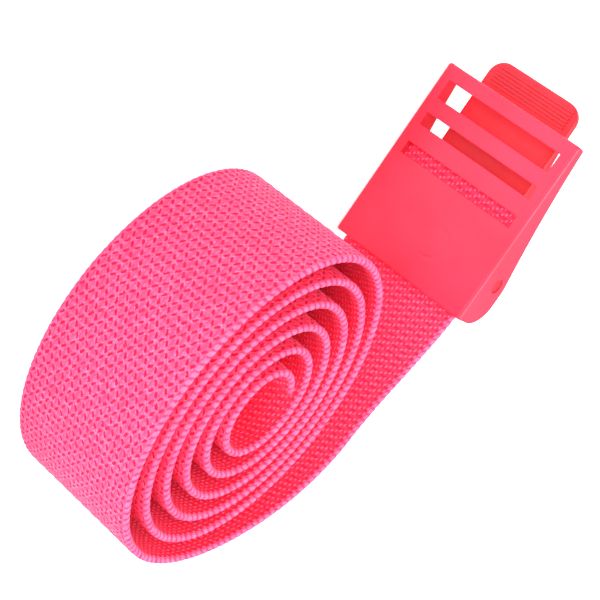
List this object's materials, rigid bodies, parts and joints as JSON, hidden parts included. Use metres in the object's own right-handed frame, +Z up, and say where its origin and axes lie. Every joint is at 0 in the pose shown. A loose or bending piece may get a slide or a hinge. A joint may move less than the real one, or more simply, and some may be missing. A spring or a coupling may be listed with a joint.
{
  "type": "gait belt",
  "caption": "Gait belt of two-inch webbing, rolled into an oval coil, with a moulded cam buckle and thumb lever on its end.",
  "frame": {"origin": "on the resting surface, under the middle of the whole belt", "axes": "+Z up along the coil's axis and across the webbing, +X from the buckle to the coil, -Y out of the buckle's slotted plate"},
  "size_m": [0.1862, 0.1234, 0.0572],
  "materials": {
    "webbing": "heavy pink polyester webbing with a raised diamond weave",
    "buckle_plastic": "satin coral-pink moulded plastic",
    "lever_plastic": "satin coral-pink moulded plastic"
  },
  "bodies": {
    "strap": {"strap_outer_turn": "webbing", "strap_inner_turns": "webbing", "strap_tail": "webbing", "strap_clamped_end": "webbing"},
    "buckle": {"buckle_body": "buckle_plastic"},
    "lever": {"cam_lever": "lever_plastic"}
  },
  "joints": [
    {"name": "buckle_slide", "type": "slide", "parent": "strap", "child": "buckle", "axis": [-1, 0, 0], "range_m": [0, 0.03]},
    {"name": "lever_pivot", "type": "hinge", "parent": "buckle", "child": "lever", "pos_m": [-0.03065, 0.05497, 0.0286], "axis": [0, 0, -1], "range_deg": [0, 75]}
  ]
}
